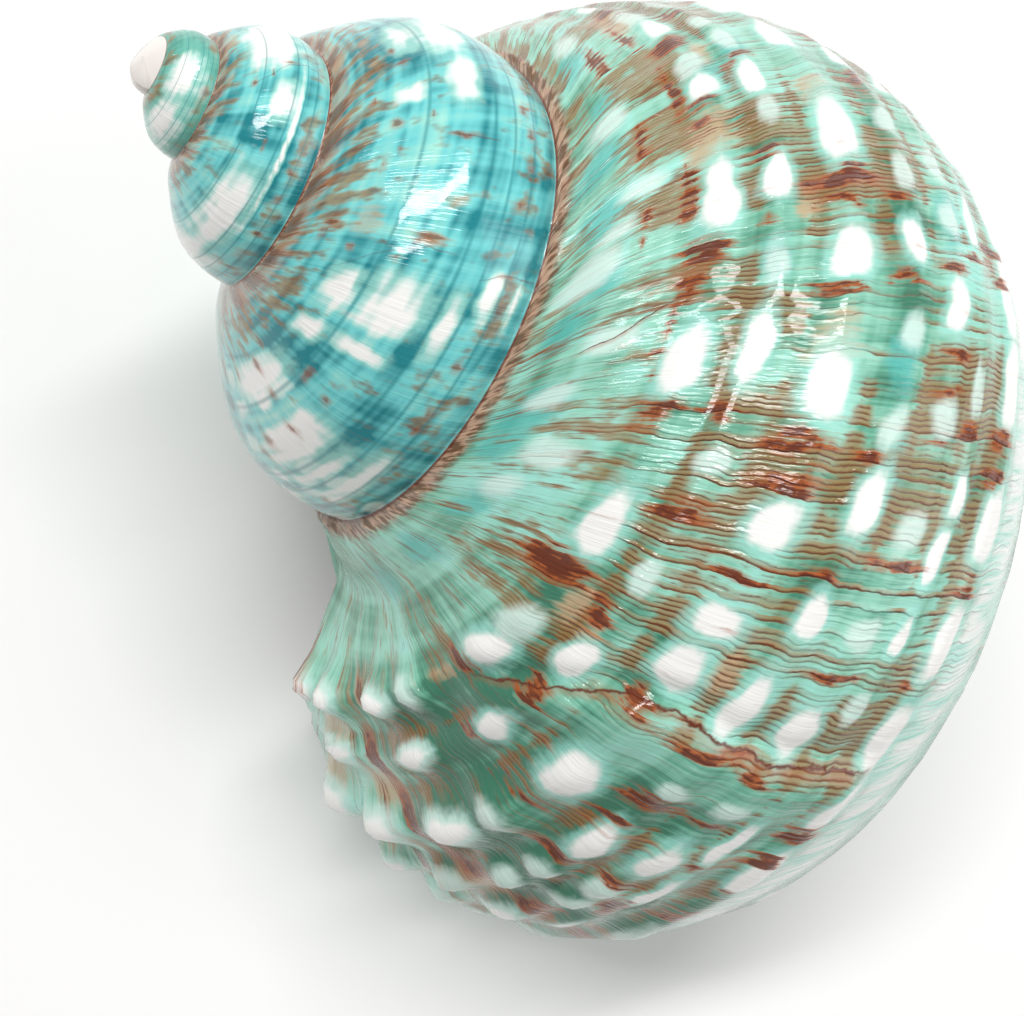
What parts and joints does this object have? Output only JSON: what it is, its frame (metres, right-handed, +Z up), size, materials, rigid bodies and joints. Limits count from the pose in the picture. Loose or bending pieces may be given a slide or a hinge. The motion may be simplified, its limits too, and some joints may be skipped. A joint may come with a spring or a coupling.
{
  "type": "turban shell",
  "caption": "Polished green turban shell lying on its aperture, with spiral rows of white blotches and brown flecks.",
  "frame": {"origin": "middle of the bounding box in plan, at the level of the surface that the shell lies on", "axes": "+Z up from that surface, +Y along the shell's length, +X to the right with the spire pointing to -X and +Y"},
  "size_m": [0.0656, 0.0774, 0.0516],
  "materials": {
    "shell": "polished"
  },
  "bodies": {
    "root": {"shell": "shell"}
  },
  "joints": []
}
